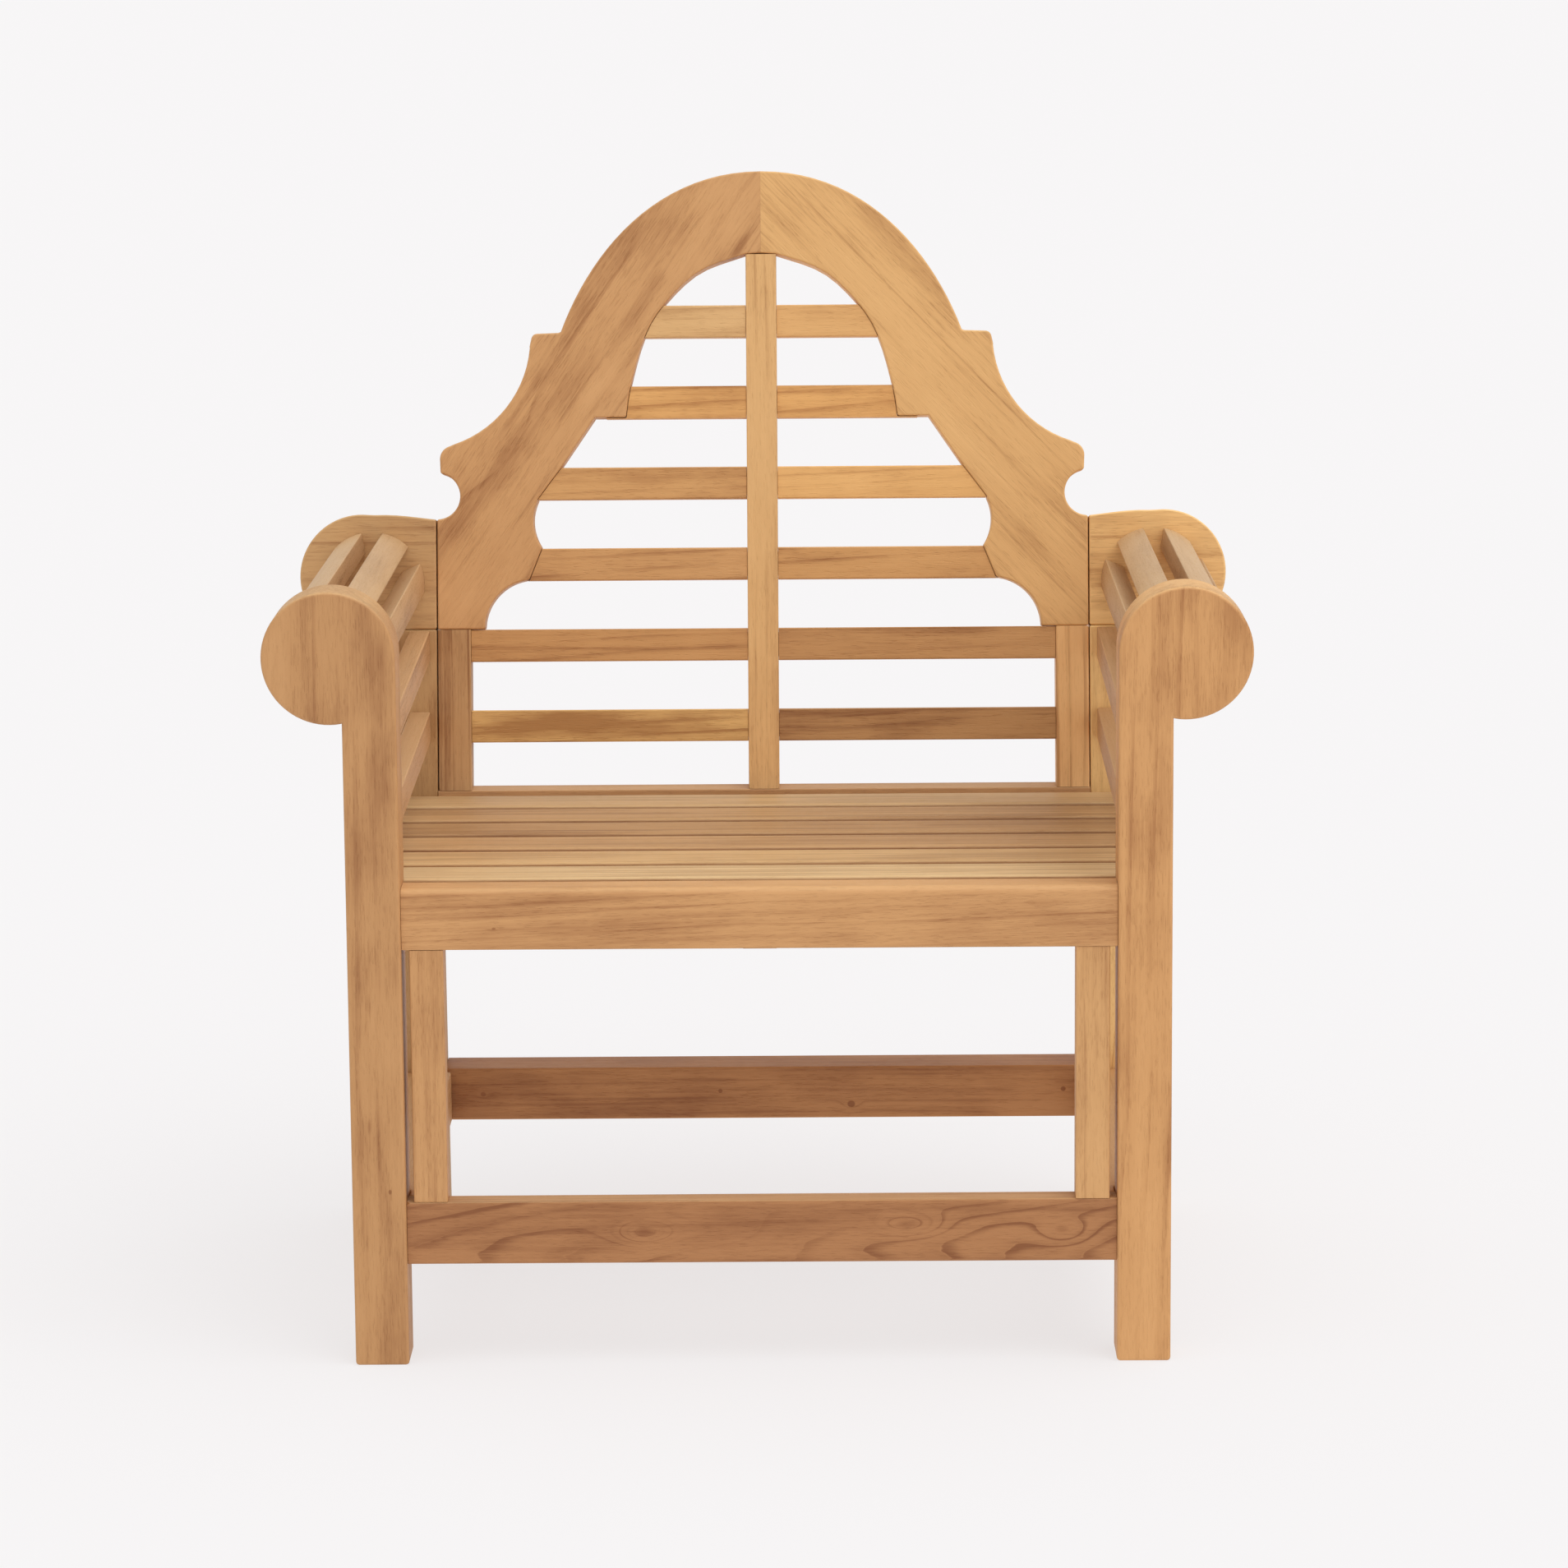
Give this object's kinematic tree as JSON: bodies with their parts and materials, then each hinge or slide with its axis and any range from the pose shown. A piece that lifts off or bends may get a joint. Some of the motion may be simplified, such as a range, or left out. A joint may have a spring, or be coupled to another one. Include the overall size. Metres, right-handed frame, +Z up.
{
  "type": "garden armchair",
  "caption": "Slatted wooden garden armchair with rolled scroll arms, an arched crest over horizontal back slats, and a stretcher frame.",
  "frame": {"origin": "on the floor, under the middle of the armchair's bounding box", "axes": "+Z up; the armchair faces -Y; +X is the right-hand side seen from the front"},
  "size_m": [0.899, 0.6262, 1.0249],
  "materials": {
    "leg_wood": "bare oiled teak, satin",
    "crest_wood": "bare oiled teak, satin",
    "back_frame_wood": "bare oiled teak, satin",
    "back_slat_wood": "bare oiled teak, satin",
    "arm_slat_wood": "bare teak, matte",
    "seat_slat_wood": "bare teak, matte",
    "rail_wood": "bare oiled teak, satin",
    "joinery_wood": "sawn hardwood, matte"
  },
  "bodies": {
    "root": {"arm_slat_inner_left": "arm_slat_wood", "arm_slat_inner_right": "arm_slat_wood", "arm_slat_outer_left": "arm_slat_wood", "arm_slat_outer_right": "arm_slat_wood", "arm_slat_top_inner_left": "arm_slat_wood", "arm_slat_top_inner_right": "arm_slat_wood", "arm_slat_top_outer_left": "arm_slat_wood", "arm_slat_top_outer_right": "arm_slat_wood", "back_crest_left": "crest_wood", "back_crest_right": "crest_wood", "back_dowel_lower_left": "joinery_wood", "back_dowel_lower_right": "joinery_wood", "back_dowel_upper_left": "joinery_wood", "back_dowel_upper_right": "joinery_wood", "back_muntin": "back_frame_wood", "back_slat_1_left": "back_slat_wood", "back_slat_1_right": "back_slat_wood", "back_slat_2_left": "back_slat_wood", "back_slat_2_right": "back_slat_wood", "back_slat_3_left": "back_slat_wood", "back_slat_3_right": "back_slat_wood", "back_slat_4_left": "back_slat_wood", "back_slat_4_right": "back_slat_wood", "back_slat_5_left": "back_slat_wood", "back_slat_5_right": "back_slat_wood", "back_slat_6_left": "back_slat_wood", "back_slat_6_right": "back_slat_wood", "back_stile_left": "back_frame_wood", "back_stile_right": "back_frame_wood", "crest_spline": "joinery_wood", "front_leg_left": "leg_wood", "front_leg_right": "leg_wood", "front_stile_left": "rail_wood", "front_stile_right": "rail_wood", "front_stretcher": "rail_wood", "rear_leg_left": "leg_wood", "rear_leg_right": "leg_wood", "rear_scroll_left": "leg_wood", "rear_scroll_right": "leg_wood", "rear_stretcher": "rail_wood", "seat_center_bearer": "rail_wood", "seat_front_rail": "rail_wood", "seat_rear_rail": "rail_wood", "seat_side_rail_left": "rail_wood", "seat_side_rail_right": "rail_wood", "seat_slat_1": "seat_slat_wood", "seat_slat_2": "seat_slat_wood", "seat_slat_3": "seat_slat_wood", "seat_slat_4": "seat_slat_wood", "seat_slat_5": "seat_slat_wood", "seat_slat_6": "seat_slat_wood", "side_slat_lower_left": "arm_slat_wood", "side_slat_lower_right": "arm_slat_wood", "side_slat_upper_left": "arm_slat_wood", "side_slat_upper_right": "arm_slat_wood", "side_stretcher_left": "rail_wood", "side_stretcher_right": "rail_wood"}
  },
  "joints": []
}
